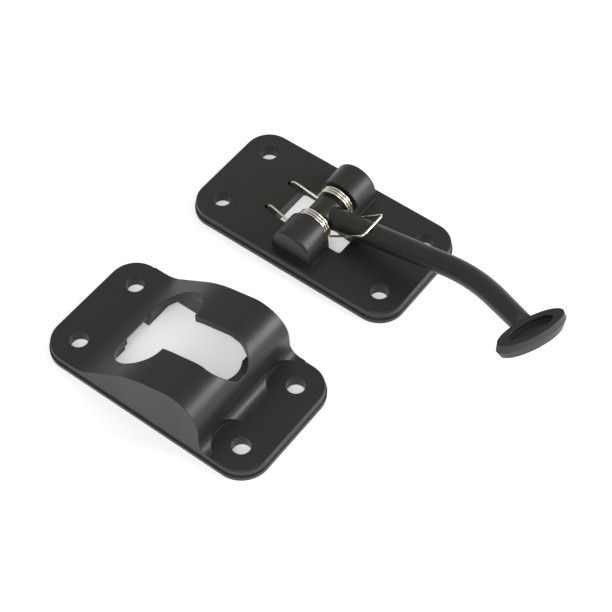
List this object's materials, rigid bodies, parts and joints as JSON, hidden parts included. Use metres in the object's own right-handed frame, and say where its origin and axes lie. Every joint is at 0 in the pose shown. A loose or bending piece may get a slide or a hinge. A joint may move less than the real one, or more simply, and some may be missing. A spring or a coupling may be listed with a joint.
{
  "type": "door holdback latch",
  "caption": "Spring-loaded T-arm door holdback: base plate with pivoting bent arm and oval T-head, and a humped keeper plate with a T-slot.",
  "frame": {"origin": "centre of the hook plate's underside, on the mounting surface", "axes": "+X along the plates towards the T-head, +Y along the pivot pin, +Z off the mounting surface"},
  "size_m": [0.144, 0.1247, 0.0309],
  "materials": {
    "black_moulding": "satin",
    "steel_pin": "ground",
    "spring_steel": "bright drawn"
  },
  "bodies": {
    "base": {"hook_base": "black_moulding", "pivot_pin": "steel_pin", "torsion_spring": "spring_steel"},
    "arm": {"latch_arm": "black_moulding"},
    "keeper": {"keeper_plate": "black_moulding"}
  },
  "joints": [
    {"name": "arm_swing", "type": "hinge", "parent": "base", "child": "arm", "pos_m": [0.0008, 0, 0.0086], "axis": [0, -1, 0], "range_deg": [0, 95], "stiffness_Nm_per_rad": 0.06, "springref_deg": -34.38, "deforming": ["torsion_spring"]},
    {"name": "keeper_lift", "type": "slide", "parent": "base", "child": "keeper", "axis": [0, 0, 1], "range_m": [0, 0.1]}
  ]
}
